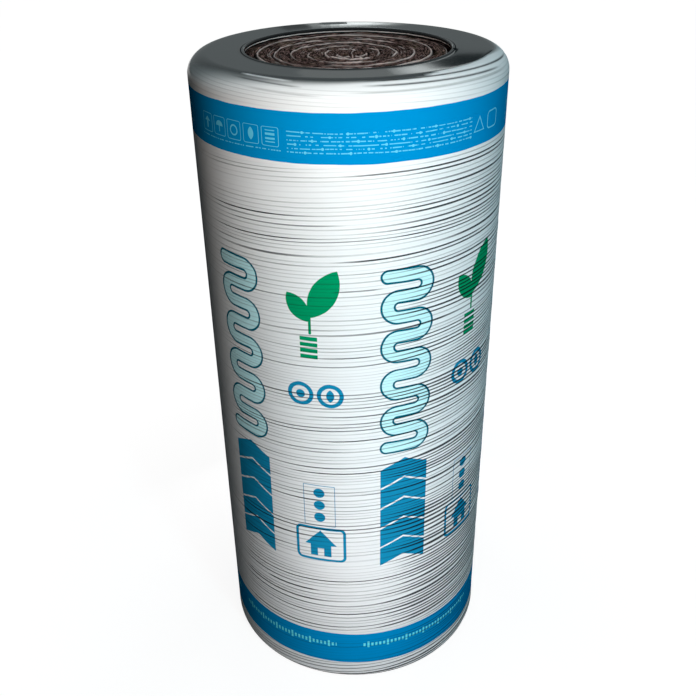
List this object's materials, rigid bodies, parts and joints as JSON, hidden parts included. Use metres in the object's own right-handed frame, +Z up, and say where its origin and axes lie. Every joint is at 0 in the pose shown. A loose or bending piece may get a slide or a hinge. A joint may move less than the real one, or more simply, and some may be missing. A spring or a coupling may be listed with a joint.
{
  "type": "insulation roll",
  "caption": "Upright roll of glass wool insulation in a white printed film sleeve, turned in over both ends round open mouths that show the spiral turns.",
  "frame": {"origin": "middle of the lower end, on the floor plane", "axes": "+Z up along the roll's axis; -Y towards the front of the print, the sleeve's lap is at +Y"},
  "size_m": [0.53, 0.53, 1.2],
  "materials": {
    "wool": "fibrous, matt",
    "film": "glossy printed polyethylene film with fine girth wrinkles"
  },
  "bodies": {
    "root": {"wool_roll": "wool", "film_wrap": "film"}
  },
  "joints": []
}
